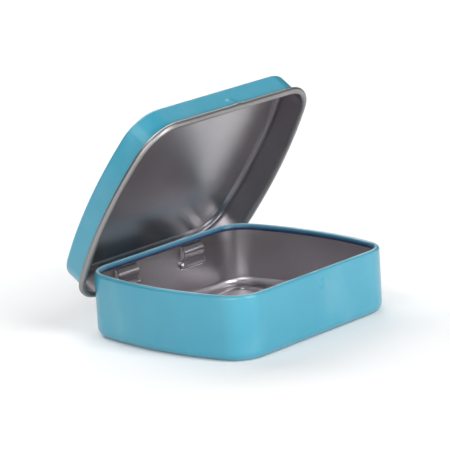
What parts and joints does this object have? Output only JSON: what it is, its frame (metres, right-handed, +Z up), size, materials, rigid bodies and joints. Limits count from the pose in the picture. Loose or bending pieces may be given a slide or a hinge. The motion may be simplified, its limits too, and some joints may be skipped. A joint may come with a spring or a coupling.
{
  "type": "hinged pocket tin",
  "caption": "Flat hinged pocket tin of pressed tinplate with a rolled rim, a rolled lid hem, curled sheet hinges and a snap pip, standing open.",
  "frame": {"origin": "centre of the flat underside of the base, on the surface that the tin stands on", "axes": "+Z up, +X along the hinge to the right when seen from the front, -Y towards the front wall with the latch pip"},
  "size_m": [0.0642, 0.0575, 0.0556],
  "materials": {
    "blue_lacquer": "glossy sky-blue lacquer printed on tinplate, bare tinplate on the inside of the same sheet",
    "bare_tinplate": "bright bare tinplate, soft satin reflections"
  },
  "bodies": {
    "base": {"base_shell": "blue_lacquer", "base_rim_curl": "blue_lacquer", "hinge_bar_left": "bare_tinplate", "hinge_bar_right": "bare_tinplate", "hinge_lip_left": "bare_tinplate", "hinge_lip_right": "bare_tinplate"},
    "lid": {"lid_shell": "blue_lacquer", "lid_hem_curl": "bare_tinplate", "hinge_tongue_left": "bare_tinplate", "hinge_tongue_right": "bare_tinplate"}
  },
  "joints": [
    {"name": "lid_hinge", "type": "hinge", "parent": "base", "child": "lid", "pos_m": [0, 0.02475, 0.009], "axis": [-1, 0, 0], "range_deg": [-56.5, 43.5]}
  ]
}
